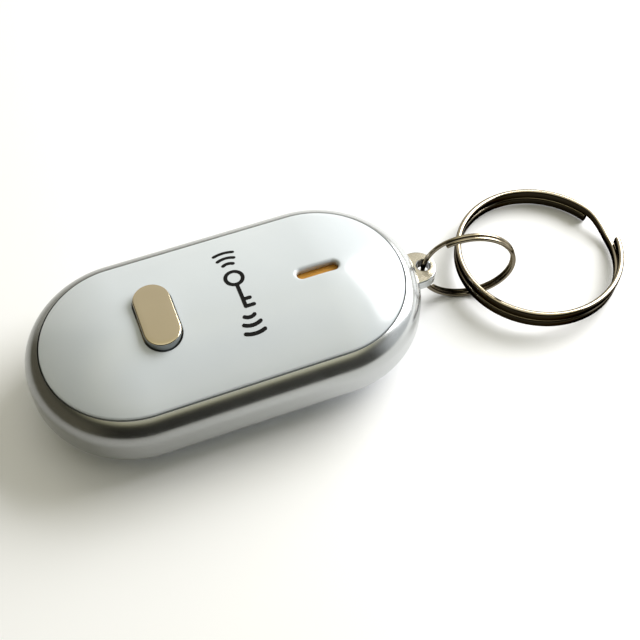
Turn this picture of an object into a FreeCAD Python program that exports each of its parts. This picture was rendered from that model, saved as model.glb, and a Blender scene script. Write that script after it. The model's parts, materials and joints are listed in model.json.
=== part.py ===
"""Key-finder tag with a domed white body, a silver frame with a lug, and two split rings.

Millimetres, +Z up. The origin is the centre of the flat patch under the rear cover, on which the tag
lies. +X points to the lug. The body is a stadium in plan: straight sides along X, a half circle at
each end. Each function builds one sub-part, and the table at the end names and writes them.
"""
import FreeCAD, Part
import math
import os

V = FreeCAD.Vector
Z_UP = V(0, 0, 1)

# ---- driving dimensions: body envelope ------------------------------------------------------------
BODY_LENGTH = 56.0
BODY_WIDTH = 29.3
BODY_HEIGHT = 15.3
SEAM_TOP = 12.0                                   # plane where the front cover meets the frame
SEAM_BOTTOM = BODY_HEIGHT - SEAM_TOP              # the same for the rear cover
FRAME_R = BODY_WIDTH / 2                          # outside radius of the frame's ends
END_X = (BODY_LENGTH - BODY_WIDTH) / 2            # centre of each half-round end
BORE_R = 12.45                                    # inside of the frame
SHOULDER_R = 3.54                                 # rounding of the frame's outer edges
LEDGE_R = 10.9
LEDGE_Z = (6.4, 7.4)                              # inner ledge that carries the circuit board

# ---- covers ---------------------------------------------------------------------------------------
COVER_R = 12.25                                   # leaves a 0.2 seam gap to the frame
COVER_WALL = 1.1
COVER_EDGE_R = 0.4
SKIRT_WALL = 0.95
REAR_APEX = -0.45                                 # the rear dome is cut flat at Z = 0
NOTCH_LENGTH = 5.0                                # pry notch in the rear cover's edge, at the -X end
NOTCH_R = 11.75                                   # the notch takes away what lies outside this radius
SNAP_X = 8.0                                      # snap hooks sit at +-SNAP_X on both sides
SNAP_WIDTH = 3.0
SNAP_DEPTH = 0.45
SNAP_FROM_SEAM = (2.1, 2.8)                       # hook's height range, measured inward from the seam

# ---- lug for the key ring ---------------------------------------------------------------------------
LUG_Z = (6.45, 8.25)
LUG_R = 2.8
LUG_CENTRE_X = 28.75
LUG_ROOT_X = 26.7
LUG_HOLE_X = 29.72
LUG_HOLE_R = 0.93
LUG_EDGE = 0.25

# ---- button and tactile switch ----------------------------------------------------------------------
BUTTON_X = -9.25
BUTTON_SIZE = (5.1, 10.15)
BUTTON_TOP = 16.1
BUTTON_GAP = 0.15
BUTTON_FLANGE = 0.6
BUTTON_FLANGE_Z = (12.8, 13.4)
BUTTON_WALL = 0.9
SWITCH_SIZE = 6.0
SWITCH_BODY_H = 3.3
SWITCH_PLATE_H = 0.2
PLUNGER_R = 1.75
DOME_R = 2.0
DOME_SHEET = 0.1

# ---- sound slot and piezo sounder -------------------------------------------------------------------
SLOT_X = 13.45
SLOT_LENGTH = 6.0
SLOT_WIDTH = 1.5
SLOT_EDGE_R = 0.45
PIEZO_X = END_X
BRASS_R = 6.0
BRASS_Z = (13.8, 14.0)
CERAMIC_R = 4.5
CERAMIC_H = 0.2
ELECTRODE_R = 4.0
ELECTRODE_H = 0.05
SEAT_R = 6.15                                     # shallow recess inside the cover, right under the slot
TAPE_RING_R = (4.9, 5.9)
TAPE_RING_H = 0.1
BRASS_SPRING_X = (-8.4, -5.2)                     # foot and tip of each spring, from the disc's centre
ELECTRODE_SPRING_X = (-1.5, 1.6)

# ---- circuit board ----------------------------------------------------------------------------------
BOARD_Z = (7.4, 8.4)
BOARD_R = 12.3
SCREW_PLACES = ((4.0, 9.6), (4.0, -9.6), (END_X + 9.6, 0.0))
SCREW_R = 0.8
SCREW_HEAD_R = 1.5
SCREW_HEAD_H = 0.85
SCREW_TIP_Z = 4.9
BOSS_R = 1.6
BOSS_BOTTOM = 4.2
BOSS_HOLE_R = 0.85
BOSS_HOLE_BOTTOM = 4.6

# ---- coin cell, 20 x 3.2 ----------------------------------------------------------------------------
CELL_X = -8.0
CELL_R = 10.0
CELL_Z = (3.15, 6.35)
CELL_SHEET = 0.25
CELL_CAN_H = 2.85
CELL_CAP_R = 9.0
CRADLE_R = (10.2, 10.95)
CRADLE_TOP = 5.2
CONTACT_SHEET = 0.15

# ---- split rings ------------------------------------------------------------------------------------
COIL_GAP = 0.04                                   # clear space between the two turns of a ring
SMALL_RING_R = 6.65                               # mean radius
SMALL_WIRE = (0.65, 0.60)                         # radial and axial size of the wire
SMALL_RING_CENTRE = (36.15, -1.61, 7.02)
SMALL_RING_TURN = -14.0                           # heading of the ring from the hole, about Z
SMALL_RING_ANGLES = (57.0, 315.0, 417.0, 675.0)   # first end, start and end of the crossing, last end
LARGE_RING_OD = 25.0
LARGE_WIRE = (0.85, 1.42)
LARGE_RING_CENTRE = (48.74, -0.56, 2.30)
LARGE_RING_TILT = 3.3                             # one side all but touches the surface
LARGE_RING_LOW_SIDE = 41.0                        # heading of that side, about Z
LARGE_RING_ANGLES = (24.0, 356.0, 384.0, 640.0)
LARGE_RING_TAIL = (69.0, 0.85)                    # the top end springs outward: its arc, and how far its
                                                  # centre lies behind the ring's
WIRE_ROUNDING = 0.45                              # edge radius as a share of the wire's smaller size
CROSSING_SECTIONS = 9


# ---- helpers ----------------------------------------------------------------------------------------
def box(x, y, z):
    """A box from three (low, high) ranges."""
    return Part.makeBox(x[1] - x[0], y[1] - y[0], z[1] - z[0], V(x[0], y[0], z[0]))


def centred_box(centre, size, z):
    """A box centred in plan on centre, size (x, y), over the height range z."""
    half_x, half_y = size[0] / 2, size[1] / 2
    return box((centre[0] - half_x, centre[0] + half_x), (centre[1] - half_y, centre[1] + half_y), z)


def disc(x, y, radius, z):
    return Part.makeCylinder(radius, z[1] - z[0], V(x, y, z[0]))


def ring(x, y, radii, z):
    return disc(x, y, radii[1], z).cut(disc(x, y, radii[0], z))


def obround(centre, size, z):
    """An upright prism with two straight sides and two half-round ends, long along its larger side."""
    radius = min(size) / 2
    dx, dy = size[0] / 2 - radius, size[1] / 2 - radius
    ends = [disc(centre[0] + s * dx, centre[1] + s * dy, radius, z) for s in (-1, 1)]
    middle = (2 * dx or 2 * radius, 2 * dy or 2 * radius)
    return ends[0].multiFuse([ends[1], centred_box(centre, middle, z)]).removeSplitter()


def stadium(radius, z):
    """The body's plan outline at a given end radius, as an upright prism."""
    return obround((0, 0), (2 * (END_X + radius), 2 * radius), z)


def profile(start, *steps):
    """A closed (radius, height) outline as a face at X = 0; a step is a corner or (via, end) of an arc."""
    edges = []
    here = start
    for step in steps + (start,):
        if isinstance(step[0], tuple):
            via, end = step
            edges.append(Part.Arc(V(0, *here), V(0, *via), V(0, *end)).toShape())
        else:
            end = step
            if math.dist(here, end) > 1e-6:
                edges.append(Part.makeLine(V(0, *here), V(0, *end)))
        here = end
    return Part.Face(Part.Wire(edges))


def carry_round(face):
    """Carry a profile face round the stadium: along both straight sides and round both ends."""
    side = face.copy()
    side.translate(V(-END_X, 0, 0))
    side = side.extrude(V(2 * END_X, 0, 0))
    end = face.copy()
    end.translate(V(END_X, 0, 0))
    end = end.revolve(V(END_X, 0, 0), Z_UP, -180)
    pieces = []
    for solid in (side, end):
        other = solid.copy()
        other.rotate(V(), Z_UP, 180)
        pieces += [solid, other]
    return pieces[0].multiFuse(pieces[1:]).removeSplitter()


def on_circle(centre, radius, degrees):
    """A (radius, height) point on a circle in the profile plane."""
    angle = math.radians(degrees)
    return (centre[0] + radius * math.cos(angle), centre[1] + radius * math.sin(angle))


def strip(points, thickness, y):
    """A bent sheet strip: a path of (x, z) corners, given thickness on its left, over the Y range."""
    offset = []
    for i, (px, pz) in enumerate(points):
        before = points[max(i - 1, 0)]
        after = points[min(i + 1, len(points) - 1)]
        normals = []
        for (ax, az), (bx, bz) in ((before, (px, pz)), ((px, pz), after)):
            length = math.hypot(bx - ax, bz - az)
            if length:
                normals.append((-(bz - az) / length, (bx - ax) / length))
        nx = sum(n[0] for n in normals) / len(normals)
        nz = sum(n[1] for n in normals) / len(normals)
        scale = thickness / (nx * nx + nz * nz)
        offset.append((px + nx * scale, pz + nz * scale))
    corners = [V(px, y[0], pz) for px, pz in points + offset[::-1]]
    return Part.Face(Part.makePolygon(corners + corners[:1])).extrude(V(0, y[1] - y[0], 0))


def mirrored(shape):
    """The same shape on the other face of the body, about its middle plane."""
    return shape.mirror(V(0, 0, BODY_HEIGHT / 2), Z_UP)


# ---- covers and frame -------------------------------------------------------------------------------
def cover_dome(apex):
    """A plain domed cover with a skirt that ends at the middle ledge, open below; apex is its top."""
    reach = COVER_R - COVER_EDGE_R
    rise = apex - SEAM_TOP - COVER_EDGE_R
    radius = (reach ** 2 + rise ** 2) / (2 * rise) + COVER_EDGE_R
    centre = (0.0, apex - radius)
    edge_centre = (reach, SEAM_TOP)
    meet = math.degrees(math.atan2(SEAM_TOP - centre[1], reach))
    skirt_end = BODY_HEIGHT - LEDGE_Z[0] if apex > BODY_HEIGHT else BOARD_Z[1]
    outer = carry_round(profile(
        (0.0, skirt_end),
        (0.0, apex),
        (on_circle(centre, radius, (90 + meet) / 2), on_circle(centre, radius, meet)),
        (on_circle(edge_centre, COVER_EDGE_R, meet / 2), (COVER_R, SEAM_TOP)),
        (COVER_R, skirt_end)))
    inner_radius = radius - COVER_WALL
    inner_reach = COVER_R - SKIRT_WALL
    inner_meet = math.degrees(math.acos(inner_reach / inner_radius))
    inner = carry_round(profile(
        (0.0, skirt_end),
        (0.0, apex - COVER_WALL),
        (on_circle(centre, inner_radius, (90 + inner_meet) / 2),
         on_circle(centre, inner_radius, inner_meet)),
        (inner_reach, skirt_end)))
    return outer, inner


def snap_hooks():
    """Four wedge hooks on the outside of the front cover's skirt."""
    low, high = SEAM_TOP - SNAP_FROM_SEAM[1], SEAM_TOP - SNAP_FROM_SEAM[0]
    root, tip = COVER_R - 0.2, COVER_R + SNAP_DEPTH
    wedge = [V(0, root, low), V(0, root, high), V(0, tip, high), V(0, tip, high - 0.2), V(0, COVER_R, low)]
    hooks = []
    for x in (-SNAP_X, SNAP_X):
        face = Part.Face(Part.makePolygon(wedge + wedge[:1]))
        face.translate(V(x - SNAP_WIDTH / 2, 0, 0))
        hook = face.extrude(V(SNAP_WIDTH, 0, 0))
        hooks += [hook, hook.mirror(V(), V(0, 1, 0))]
    return hooks


def snap_pockets():
    """Clearance pockets in the frame's bore for the hooks of both covers."""
    slack = 0.1
    z = (SEAM_TOP - SNAP_FROM_SEAM[1] - slack, SEAM_TOP - SNAP_FROM_SEAM[0] + slack)
    y = (BORE_R - 0.2, COVER_R + SNAP_DEPTH + slack)
    pockets = []
    for x in (-SNAP_X, SNAP_X):
        half = SNAP_WIDTH / 2 + slack
        pocket = box((x - half, x + half), y, z)
        for one in (pocket, mirrored(pocket)):
            pockets += [one, one.mirror(V(), V(0, 1, 0))]
    return pockets


def mid_frame():
    """The silver band: rounded outer edges, an inner ledge with screw bosses, and the lug."""
    centre_r = FRAME_R - SHOULDER_R
    start = math.degrees(math.acos((BORE_R - centre_r) / SHOULDER_R))
    top_z = SEAM_TOP - SHOULDER_R * math.sin(math.radians(start))
    top = (centre_r, top_z)
    bottom = (centre_r, BODY_HEIGHT - top_z)
    band = carry_round(profile(
        (BORE_R, SEAM_BOTTOM),
        (BORE_R, SEAM_TOP),
        (on_circle(top, SHOULDER_R, start / 2), (FRAME_R, top_z)),
        (FRAME_R, BODY_HEIGHT - top_z),
        (on_circle(bottom, SHOULDER_R, -start / 2), (BORE_R, SEAM_BOTTOM))))
    ledge = stadium(BORE_R + 0.1, LEDGE_Z).cut(stadium(LEDGE_R, LEDGE_Z))
    bosses = [disc(x, y, BOSS_R, (BOSS_BOTTOM, LEDGE_Z[1])) for x, y in SCREW_PLACES]
    lug = box((LUG_ROOT_X, LUG_CENTRE_X), (-LUG_R, LUG_R), LUG_Z)
    lug = lug.fuse(disc(LUG_CENTRE_X, 0, LUG_R, LUG_Z)).removeSplitter()
    rims = [e for e in lug.Edges
            if abs(e.BoundBox.ZLength) < 1e-6 and e.BoundBox.XMax > LUG_ROOT_X + 0.1]
    lug = lug.makeFillet(LUG_EDGE, rims)
    body = band.multiFuse([ledge, lug] + bosses)
    holes = [disc(x, y, BOSS_HOLE_R, (BOSS_HOLE_BOTTOM, LEDGE_Z[1])) for x, y in SCREW_PLACES]
    lug_hole = disc(LUG_HOLE_X, 0, LUG_HOLE_R, LUG_Z)
    flare = 0.18
    for z, low_r, high_r in ((LUG_Z[1] - flare, LUG_HOLE_R, LUG_HOLE_R + flare),
                             (LUG_Z[0], LUG_HOLE_R + flare, LUG_HOLE_R)):
        lug_hole = lug_hole.fuse(Part.makeCone(low_r, high_r, flare, V(LUG_HOLE_X, 0, z)))
    return body.cut(holes + [lug_hole] + snap_pockets()).removeSplitter()


def front_cover():
    """Glossy front dome with the button opening, the sound slot, the sounder seat and snap hooks."""
    outer, inner = cover_dome(BODY_HEIGHT)
    seat = disc(PIEZO_X, 0, SEAT_R, (SEAM_TOP, BRASS_Z[1] + TAPE_RING_H))
    shell = outer.cut([inner, seat]).multiFuse(snap_hooks())
    opening_size = (BUTTON_SIZE[0] + 2 * BUTTON_GAP, BUTTON_SIZE[1] + 2 * BUTTON_GAP)
    opening = obround((BUTTON_X, 0), opening_size, (SEAM_TOP, BUTTON_TOP))
    slot = obround((SLOT_X, 0), (SLOT_LENGTH, SLOT_WIDTH), (SEAM_TOP, BUTTON_TOP))
    shell = shell.cut([opening, slot]).removeSplitter()
    half_x, half_y = SLOT_LENGTH / 2 + 0.05, SLOT_WIDTH / 2 + 0.05
    rim = [e for e in shell.Edges
           if e.BoundBox.ZMin > BODY_HEIGHT - 0.6
           and abs(e.BoundBox.Center.y) < half_y
           and e.BoundBox.YMax < half_y
           and e.BoundBox.YMin > -half_y
           and e.BoundBox.XMin > SLOT_X - half_x
           and e.BoundBox.XMax < SLOT_X + half_x]
    return shell.makeFillet(SLOT_EDGE_R, rim)


def rear_cover():
    """Rear dome with a flat patch to lie on, a cradle for the coin cell, snap hooks and a pry notch."""
    outer, inner = cover_dome(BODY_HEIGHT - REAR_APEX)
    outer = outer.common(stadium(FRAME_R, (0, BODY_HEIGHT)))
    inner = inner.common(stadium(FRAME_R, (0, BODY_HEIGHT - COVER_WALL)))
    floor = BODY_HEIGHT - COVER_WALL
    shell = outer.cut(inner)
    cradle_z = (BODY_HEIGHT - CRADLE_TOP, floor + 0.5)
    cradle = ring(CELL_X, 0, CRADLE_R, cradle_z)
    clip_gap = box((CELL_X + CELL_R - 0.6, CELL_X + CELL_R + 3), (-3.2, 3.2), cradle_z)
    rib_z = (BODY_HEIGHT - CELL_Z[0], floor + 0.5)
    ribs = [centred_box((CELL_X, 0), size, rib_z) for size in ((17.0, 1.2), (1.2, 15.0))]
    inside = [cradle.cut(clip_gap).common(outer)] + [rib.common(outer) for rib in ribs]
    cover = mirrored(shell.multiFuse(inside + snap_hooks()))
    notch_x = (-END_X - BORE_R, -END_X - NOTCH_R)
    notch = box(notch_x, (-NOTCH_LENGTH / 2, NOTCH_LENGTH / 2), (SEAM_BOTTOM - 1.0, SEAM_BOTTOM))
    return cover.cut(notch).removeSplitter()


# ---- button and switch ------------------------------------------------------------------------------
def push_button():
    """Hollow cap with a chamfered rim, a retaining flange and a middle post that meets the switch."""
    cap = obround((BUTTON_X, 0), BUTTON_SIZE, (BUTTON_FLANGE_Z[0], BUTTON_TOP))
    rim = [e for e in cap.Edges if e.BoundBox.ZMin > BUTTON_TOP - 0.01]
    cap = cap.makeChamfer(0.22, rim)
    flange_size = (BUTTON_SIZE[0] + 2 * BUTTON_FLANGE, BUTTON_SIZE[1] + 2 * BUTTON_FLANGE)
    flange = obround((BUTTON_X, 0), flange_size, BUTTON_FLANGE_Z)
    hollow_size = (BUTTON_SIZE[0] - 2 * BUTTON_WALL, BUTTON_SIZE[1] - 2 * BUTTON_WALL)
    hollow = obround((BUTTON_X, 0), hollow_size, (BUTTON_FLANGE_Z[0], BUTTON_TOP - BUTTON_WALL))
    post = centred_box((BUTTON_X, 0), (hollow_size[0] + 0.2, 2.2), (BUTTON_FLANGE_Z[0], BUTTON_TOP - 0.5))
    return cap.fuse(flange).cut(hollow).fuse(post).removeSplitter()


def switch_z():
    """Heights of the switch: seat, top of the moulded body, top of the steel plate."""
    seat = BOARD_Z[1]
    return seat, seat + SWITCH_BODY_H, seat + SWITCH_BODY_H + SWITCH_PLATE_H


def switch_body():
    seat, top, _ = switch_z()
    shape = centred_box((BUTTON_X, 0), (SWITCH_SIZE, SWITCH_SIZE), (seat, top))
    return shape.cut(disc(BUTTON_X, 0, DOME_R + 0.25, (seat + 1.0, top)))


def switch_plate():
    _, top, plate_top = switch_z()
    shape = centred_box((BUTTON_X, 0), (SWITCH_SIZE, SWITCH_SIZE), (top, plate_top))
    return shape.cut(disc(BUTTON_X, 0, PLUNGER_R + 0.1, (top, plate_top)))


def switch_plunger():
    """Round actuator that the button's post touches; its nub bears on the snap dome."""
    seat, top, _ = switch_z()
    stem = disc(BUTTON_X, 0, PLUNGER_R, (top - 0.6, BUTTON_FLANGE_Z[0]))
    collar = disc(BUTTON_X, 0, PLUNGER_R + 0.35, (top - 0.6, top - 0.2))
    nub = disc(BUTTON_X, 0, 0.8, (seat + 1.0 + 0.75, top - 0.6))
    return stem.multiFuse([collar, nub]).removeSplitter()


def switch_dome():
    """Stamped spring-steel snap dome, the part that clicks."""
    floor = switch_z()[0] + 1.0
    rise = 0.75
    sphere_r = (DOME_R ** 2 + rise ** 2) / (2 * rise)
    centre = V(BUTTON_X, 0, floor + rise - sphere_r)
    shell = Part.makeSphere(sphere_r, centre).cut(Part.makeSphere(sphere_r - DOME_SHEET, centre))
    return shell.common(disc(BUTTON_X, 0, DOME_R + 0.1, (floor, floor + rise)))


def switch_legs():
    """Four gull-wing legs soldered to the board."""
    seat = BOARD_Z[1]
    half = SWITCH_SIZE / 2
    path = [(half + 1.3, seat), (half + 0.5, seat), (half + 0.2, seat + 0.6), (half, seat + 0.6)]
    legs = []
    for y in (-2.25, 2.25):
        right = strip([(BUTTON_X + px, pz) for px, pz in path], -0.18, (y - 0.35, y + 0.35))
        legs += [right, right.mirror(V(BUTTON_X, 0, 0), V(1, 0, 0))]
    return Part.makeCompound(legs)


# ---- circuit board and what is soldered to it -------------------------------------------------------
def circuit_board():
    board = stadium(BOARD_R, BOARD_Z)
    return board.cut([disc(x, y, SCREW_R + 0.15, BOARD_Z) for x, y in SCREW_PLACES])


def board_screws():
    """Three self-tapping pan-head screws with a cross recess."""
    screws = []
    for x, y in SCREW_PLACES:
        head_z = (BOARD_Z[1], BOARD_Z[1] + SCREW_HEAD_H)
        head = disc(x, y, SCREW_HEAD_R, head_z)
        rim = [e for e in head.Edges if e.BoundBox.ZMin > head_z[1] - 0.01]
        head = head.makeFillet(0.35, rim)
        shank = disc(x, y, SCREW_R, (SCREW_TIP_Z + 0.6, BOARD_Z[1]))
        point = Part.makeCone(0.25, SCREW_R, 0.6, V(x, y, SCREW_TIP_Z))
        recess_z = (head_z[1] - 0.45, head_z[1])
        cross = [centred_box((x, y), size, recess_z) for size in ((1.6, 0.35), (0.35, 1.6))]
        screws.append(head.multiFuse([shank, point]).cut(cross).removeSplitter())
    return Part.makeCompound(screws)


def chip(centre, size, height):
    """A plain package on the top face of the board."""
    return centred_box(centre, size, (BOARD_Z[1], BOARD_Z[1] + height))


def radio_chip():
    body = chip((-17.0, 0.0), (5.0, 5.0), 0.85)
    return body.cut(disc(-18.9, 1.9, 0.25, (BOARD_Z[1] + 0.75, BOARD_Z[1] + 0.85)))


def main_crystal():
    can = chip((-16.9, 5.0), (3.2, 2.5), 0.7)
    return can.makeFillet(0.3, [e for e in can.Edges if abs(e.BoundBox.ZLength) > 0.5])


def clock_crystal():
    return chip((-16.9, -4.9), (3.2, 1.5), 0.8)


def chip_group(places, size, height):
    return Part.makeCompound([chip(place, size, height) for place in places])


def chip_capacitors():
    places = [(-13.2, y) for y in (-6.8, -5.0, 5.0, 6.8)] + [(x, 7.6) for x in (-9.6, -7.2, -4.8)]
    return chip_group(places + [(1.6, -3.0), (1.6, 3.0)], (1.0, 0.5), 0.5)


def chip_resistors():
    places = [(x, -7.6) for x in (-9.6, -7.2, -4.8)] + [(1.6, y) for y in (-1.2, 1.2)]
    return chip_group(places, (1.0, 0.5), 0.35)


def boost_inductor():
    """Wound power inductor that raises the cell's voltage for the sounder."""
    core = chip((-2.2, 4.6), (3.0, 3.0), 1.4)
    return core.makeFillet(0.3, [e for e in core.Edges if abs(e.BoundBox.ZLength) > 0.5])


def driver_transistor():
    """Three-legged switching transistor for the sounder."""
    centre = (-2.2, -4.6)
    z = BOARD_Z[1]
    body = centred_box(centre, (2.9, 1.3), (z + 0.1, z + 1.0))
    legs = [centred_box((centre[0] + dx, centre[1] + dy), (0.4, 0.9), (z, z + 0.25))
            for dx, dy in ((-0.95, -0.9), (0.95, -0.9), (0.0, 0.9))]
    return body.multiFuse(legs).removeSplitter()


def antenna_trace():
    """Printed meander antenna at the end of the board that no metal covers."""
    z = (BOARD_Z[1], BOARD_Z[1] + 0.05)
    rows = [-23.6 + 1.2 * i for i in range(4)]
    reach, width = 3.6, 0.5
    bars = [centred_box((x, 0), (width, 2 * reach), z) for x in rows]
    for i, (x0, x1) in enumerate(zip(rows, rows[1:])):
        side = reach - width / 2 if i % 2 else width / 2 - reach
        bars.append(centred_box(((x0 + x1) / 2, side), (x1 - x0, width), z))
    feed = box((rows[-1], -19.5), (-width / 2, width / 2), z)
    return bars[0].multiFuse(bars[1:] + [feed]).removeSplitter()


# ---- coin cell and its contacts ---------------------------------------------------------------------
def cell_can():
    """Positive can: flat bottom, straight wall."""
    z0 = CELL_Z[0]
    outer = disc(CELL_X, 0, CELL_R, (z0, z0 + CELL_CAN_H))
    bottom = [e for e in outer.Edges if e.BoundBox.ZMax < z0 + 0.01]
    outer = outer.makeFillet(0.24, bottom)
    return outer.cut(disc(CELL_X, 0, CELL_R - CELL_SHEET, (z0 + CELL_SHEET, z0 + CELL_CAN_H)))


def cell_gasket():
    height = (CELL_Z[0] + CELL_SHEET, CELL_Z[0] + CELL_CAN_H)
    return ring(CELL_X, 0, (CELL_CAP_R, CELL_R - CELL_SHEET), height)


def cell_cap():
    """Negative cap, a shallow cup turned over the electrodes."""
    outer = disc(CELL_X, 0, CELL_CAP_R, (CELL_Z[0] + 0.5, CELL_Z[1]))
    top = [e for e in outer.Edges if e.BoundBox.ZMin > CELL_Z[1] - 0.01]
    outer = outer.makeFillet(0.24, top)
    return outer.cut(disc(CELL_X, 0, CELL_CAP_R - CELL_SHEET, (CELL_Z[0] + 0.5, CELL_Z[1] - CELL_SHEET)))


def cell_electrodes():
    """Cathode pellet, separator and lithium disc as one stack."""
    return disc(CELL_X, 0, CELL_CAP_R - CELL_SHEET, (CELL_Z[0] + CELL_SHEET, CELL_Z[1] - CELL_SHEET))


def negative_contact():
    """Leaf spring under the board that presses on the cell's cap."""
    top = BOARD_Z[0]
    path = [(-4.0, top), (-7.0, top), (-9.5, CELL_Z[1] + CONTACT_SHEET), (-10.5, CELL_Z[1] + CONTACT_SHEET),
            (-11.3, CELL_Z[1] + 0.45)]
    return strip(path, CONTACT_SHEET, (-1.5, 1.5))


def positive_contact():
    """Side clip under the board that touches the wall of the cell's can."""
    top = BOARD_Z[0]
    side = CELL_X + CELL_R
    path = [(side + 3.0, top), (side + 1.0, top), (side + 0.8, CELL_Z[1] - 0.6), (side, 5.0),
            (side + 0.4, 4.2)]
    return strip(path, CONTACT_SHEET, (-1.6, 1.6))


# ---- sounder ----------------------------------------------------------------------------------------
def piezo_brass_disc():
    return disc(PIEZO_X, 0, BRASS_R, BRASS_Z)


def piezo_ceramic_disc():
    return disc(PIEZO_X, 0, CERAMIC_R, (BRASS_Z[0] - CERAMIC_H, BRASS_Z[0]))


def piezo_electrode():
    top = BRASS_Z[0] - CERAMIC_H
    return disc(PIEZO_X, 0, ELECTRODE_R, (top - ELECTRODE_H, top))


def piezo_tape_ring():
    return ring(PIEZO_X, 0, TAPE_RING_R, (BRASS_Z[1], BRASS_Z[1] + TAPE_RING_H))


def board_leaf(reach, tip_z):
    """A leaf spring from the board's top face up to height tip_z; reach is its foot's and tip's place."""
    foot = BOARD_Z[1]
    foot_x, tip_x = (PIEZO_X + x for x in reach)
    lean = 1 if tip_x > foot_x else -1
    path = [(foot_x - lean * 1.4, foot), (foot_x, foot), (tip_x - lean * 0.6, tip_z - CONTACT_SHEET),
            (tip_x, tip_z - CONTACT_SHEET), (tip_x + lean * 0.4, tip_z - 0.45)]
    return strip(path, lean * CONTACT_SHEET, (-0.8, 0.8))


def brass_contact_spring():
    return board_leaf(BRASS_SPRING_X, BRASS_Z[0])


def electrode_contact_spring():
    return board_leaf(ELECTRODE_SPRING_X, BRASS_Z[0] - CERAMIC_H - ELECTRODE_H)


# ---- split rings ------------------------------------------------------------------------------------
def wire_section(radius, level, size, degrees):
    """Rounded rectangular wire section in the plane through the ring's axis at a given angle."""
    half_r, half_z = size[0] / 2, size[1] / 2
    round_r = WIRE_ROUNDING * min(size)
    slant = round_r * (1 - math.sqrt(0.5))
    edges = []
    corners = ((1, 1), (-1, 1), (-1, -1), (1, -1))
    for i, (sr, sz) in enumerate(corners):
        side_end = (sr * half_r, sz * (half_z - round_r))
        flat_end = (sr * (half_r - round_r), sz * half_z)
        first, last = (side_end, flat_end) if i % 2 == 0 else (flat_end, side_end)
        via = (sr * (half_r - slant), sz * (half_z - slant))
        edges.append((first, via, last))
    shapes = []
    for i, (first, via, last) in enumerate(edges):
        points = [V(radius + r, 0, level + z) for r, z in (first, via, last)]
        shapes.append(Part.Arc(*points).toShape())
        start_of_next = edges[(i + 1) % 4][0]
        shapes.append(Part.makeLine(points[2], V(radius + start_of_next[0], 0, level + start_of_next[1])))
    wire = Part.Wire(shapes)
    wire.rotate(V(), Z_UP, degrees)
    return wire


def split_ring(radius, size, angles, tail=None):
    """Two turns of wire side by side, joined by one slanting strand; axis Z, centred on the origin.

    A tail (degrees, shift) carries the last end on, about a centre that lies shift behind the ring's.
    """
    level = (size[1] + COIL_GAP) / 2
    first, cross_start, cross_end, last = angles
    solids = []
    for z, start, end in ((-level, first, cross_start), (level, cross_end, last)):
        face = Part.Face(wire_section(radius, z, size, start))
        solids.append(face.revolve(V(), Z_UP, end - start))
    if tail:
        degrees, shift = tail
        end = math.radians(last)
        behind = V(-shift * math.cos(end), -shift * math.sin(end), 0)
        solids.append(Part.Face(wire_section(radius, level, size, last)).revolve(behind, Z_UP, degrees))
    sections = []
    for i in range(CROSSING_SECTIONS):
        t = i / (CROSSING_SECTIONS - 1)
        ease = t * t * (3 - 2 * t)
        angle = cross_start + t * (cross_end - cross_start)
        sections.append(wire_section(radius, level * (2 * ease - 1), size, angle))
    solids.append(Part.makeLoft(sections, True))
    return solids[0].multiFuse(solids[1:])


def small_split_ring():
    """Threaded through the lug; angle 0 of its wire is in the hole, angle 90 at the top."""
    shape = split_ring(SMALL_RING_R, SMALL_WIRE, SMALL_RING_ANGLES)
    shape.rotate(V(), V(1, 0, 0), 90)
    shape.rotate(V(), Z_UP, 180 + SMALL_RING_TURN)
    shape.translate(V(*SMALL_RING_CENTRE))
    return shape


def large_split_ring():
    """Lies on the same surface as the tag, held up a little where it passes through the small ring."""
    radius = (LARGE_RING_OD - LARGE_WIRE[0]) / 2
    shape = split_ring(radius, LARGE_WIRE, LARGE_RING_ANGLES, LARGE_RING_TAIL)
    heading = math.radians(LARGE_RING_LOW_SIDE + 90)
    shape.rotate(V(), V(math.cos(heading), math.sin(heading), 0), LARGE_RING_TILT)
    shape.translate(V(*LARGE_RING_CENTRE))
    return shape


# ---- every node of the assembly ---------------------------------------------------------------------
SUB_PARTS = {
    "mid_frame": mid_frame,
    "front_cover": front_cover,
    "rear_cover": rear_cover,
    "push_button": push_button,
    "switch_body": switch_body,
    "switch_plate": switch_plate,
    "switch_plunger": switch_plunger,
    "switch_dome": switch_dome,
    "switch_legs": switch_legs,
    "circuit_board": circuit_board,
    "board_screws": board_screws,
    "radio_chip": radio_chip,
    "main_crystal": main_crystal,
    "clock_crystal": clock_crystal,
    "chip_capacitors": chip_capacitors,
    "chip_resistors": chip_resistors,
    "boost_inductor": boost_inductor,
    "driver_transistor": driver_transistor,
    "antenna_trace": antenna_trace,
    "cell_can": cell_can,
    "cell_gasket": cell_gasket,
    "cell_cap": cell_cap,
    "cell_electrodes": cell_electrodes,
    "negative_contact": negative_contact,
    "positive_contact": positive_contact,
    "piezo_brass_disc": piezo_brass_disc,
    "piezo_ceramic_disc": piezo_ceramic_disc,
    "piezo_electrode": piezo_electrode,
    "piezo_tape_ring": piezo_tape_ring,
    "brass_contact_spring": brass_contact_spring,
    "electrode_contact_spring": electrode_contact_spring,
    "small_split_ring": small_split_ring,
    "large_split_ring": large_split_ring,
}

os.makedirs("parts", exist_ok=True)
for name, build in SUB_PARTS.items():
    part_shape = build()
    if not part_shape.isValid():
        print("not valid:", name)
    part_shape.exportStep("parts/" + name + ".step")
    print(name, len(part_shape.Solids), "solid(s), volume", round(part_shape.Volume, 2))
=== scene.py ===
import json
import math

import bmesh
import bpy
import numpy as np
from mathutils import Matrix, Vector
from mathutils.geometry import delaunay_2d_cdt

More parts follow.
